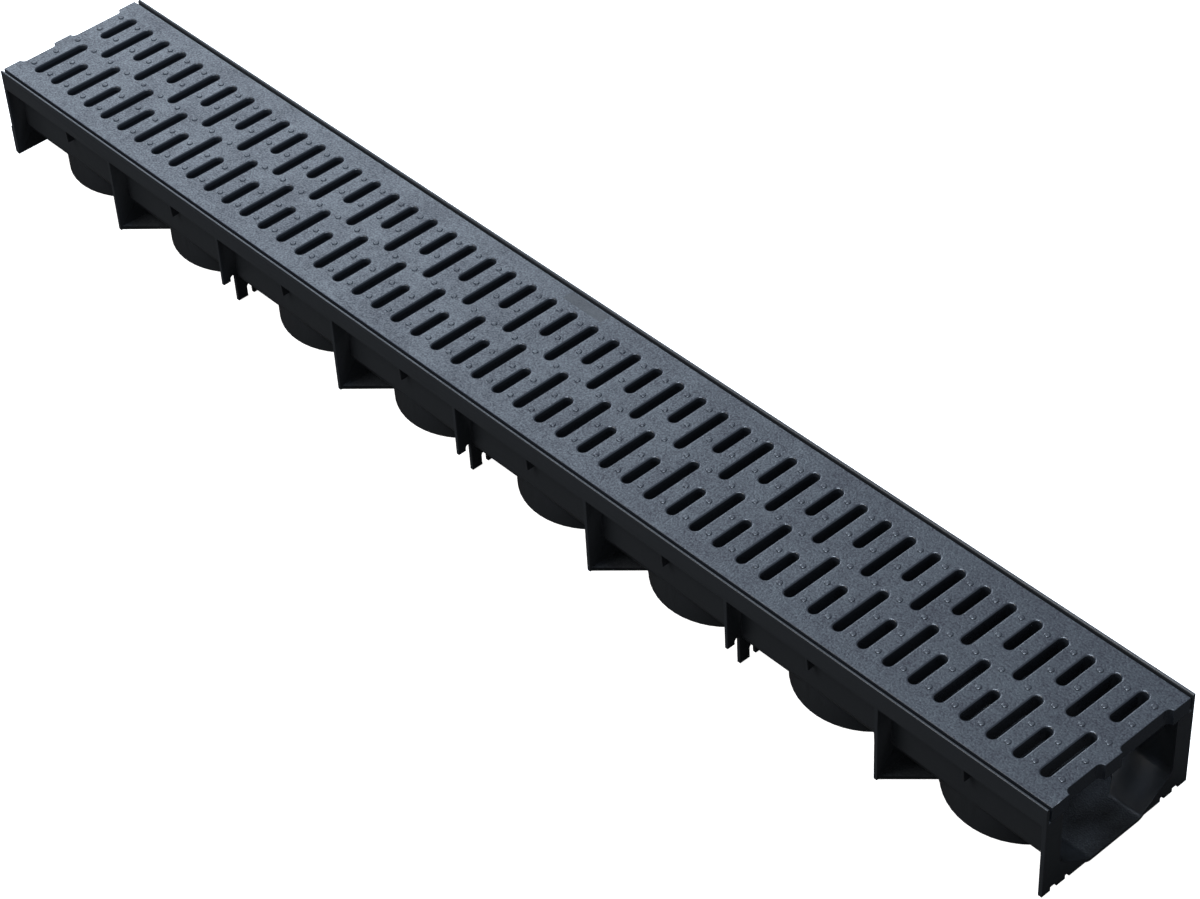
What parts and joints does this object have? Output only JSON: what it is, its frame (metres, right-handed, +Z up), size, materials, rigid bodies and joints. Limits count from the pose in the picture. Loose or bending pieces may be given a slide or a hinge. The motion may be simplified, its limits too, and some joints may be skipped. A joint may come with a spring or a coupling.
{
  "type": "channel drain",
  "caption": "Shallow moulded plastic drainage channel with a staggered slotted grate resting in its rim, ribbed and cut for bar clips along its sides.",
  "frame": {"origin": "bottom centre: midway along the channel, midway across it, on the plane of its feet", "axes": "+X along the channel, away from the end with the joint tongues; +Y across it; +Z up, out of the grate"},
  "size_m": [1, 0.125, 0.075],
  "materials": {
    "channel_plastic": "moulded black polypropylene, satin",
    "grate_plastic": "moulded charcoal polypropylene with a fine grained top"
  },
  "bodies": {
    "root": {"channel_body": "channel_plastic", "grate": "grate_plastic"}
  },
  "joints": []
}
